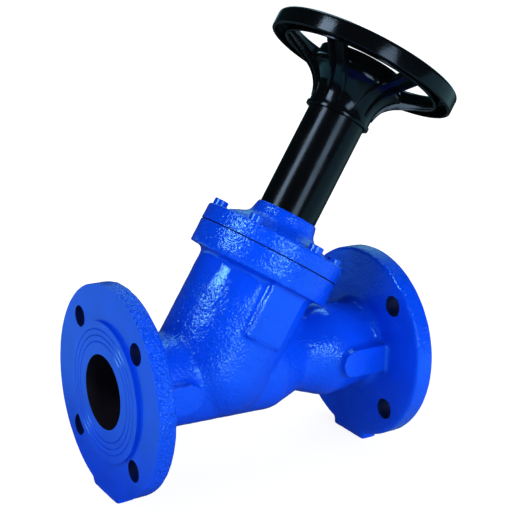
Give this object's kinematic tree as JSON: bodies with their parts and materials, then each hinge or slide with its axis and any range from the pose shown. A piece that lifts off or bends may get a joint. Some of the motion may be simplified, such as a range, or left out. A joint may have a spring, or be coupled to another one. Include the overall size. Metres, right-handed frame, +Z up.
{
  "type": "double regulating valve",
  "caption": "Y-pattern double regulating valve with flanged ends, a leaning bonnet, a long sleeve and a ribbed handwheel that lifts a guided plug off its seat.",
  "frame": {"origin": "centre of the inlet flange's raised face, on the pipe axis", "axes": "+X along the pipe axis towards the outlet flange, +Z up, with the stem leaning towards +X in the XZ plane"},
  "size_m": [0.3375, 0.185, 0.4147],
  "materials": {
    "painted_casting": "gloss paint over a rough casting",
    "painted_screw": "gloss paint",
    "gasket": "matt fibre sheet",
    "bronze": "turned",
    "resistant_brass": "turned",
    "steel": "zinc plated",
    "seal_plastic": "moulded fluoropolymer",
    "seal_rubber": "moulded rubber",
    "bearing_plastic": "moulded",
    "sleeve_black": "gloss",
    "wheel_black": "moulded gloss with a fine texture"
  },
  "bodies": {
    "housing": {"valve_body": "painted_casting", "seat_ring": "bronze", "bonnet_gasket": "gasket", "bonnet": "painted_casting", "bonnet_screws": "painted_screw", "lower_thrust_washer": "bearing_plastic", "upper_thrust_washer": "bearing_plastic", "gland_bush": "bronze", "spindle_seals": "seal_rubber", "bush_seal": "seal_rubber", "gland_nut": "resistant_brass", "sleeve_tube": "sleeve_black", "top_bush": "bearing_plastic"},
    "spindle_group": {"spindle": "resistant_brass", "handwheel": "wheel_black", "wheel_washer": "steel", "wheel_nut": "steel"},
    "plug_group": {"plug": "resistant_brass", "guide_key": "steel", "plug_nut": "bronze", "seal_ring": "seal_plastic", "throttle_cone": "resistant_brass", "cone_screw": "steel"},
    "stop_rod_group": {"stop_rod": "steel"},
    "stop_screw_group": {"stop_screw": "steel"},
    "cap_group": {"centre_cap": "wheel_black"}
  },
  "joints": [
    {"name": "handwheel_turn", "type": "hinge", "parent": "housing", "child": "spindle_group", "pos_m": [0.103, 0, 0], "axis": [0.5, 0, 0.866], "range_deg": [0, 1800]},
    {"name": "plug_lift", "type": "slide", "parent": "housing", "child": "plug_group", "axis": [0.5, 0, 0.866], "range_m": [0, 0.02]},
    {"name": "stop_rod_travel", "type": "slide", "parent": "spindle_group", "child": "stop_rod_group", "axis": [0.5, 0, 0.866], "range_m": [-0.0125, 0]},
    {"name": "stop_screw_turn", "type": "hinge", "parent": "stop_rod_group", "child": "stop_screw_group", "pos_m": [0.103, 0, 0], "axis": [0.5, 0, 0.866], "range_deg": [-3600, 0]},
    {"name": "cap_pull", "type": "slide", "parent": "spindle_group", "child": "cap_group", "axis": [0.5, 0, 0.866], "range_m": [0, 0.012]}
  ],
  "couplings": [
    {"joint": "plug_lift", "follows": "handwheel_turn", "m_per_rad": 0.00063662},
    {"joint": "stop_screw_turn", "follows": "stop_rod_travel", "rad_per_m": 5026.5}
  ]
}
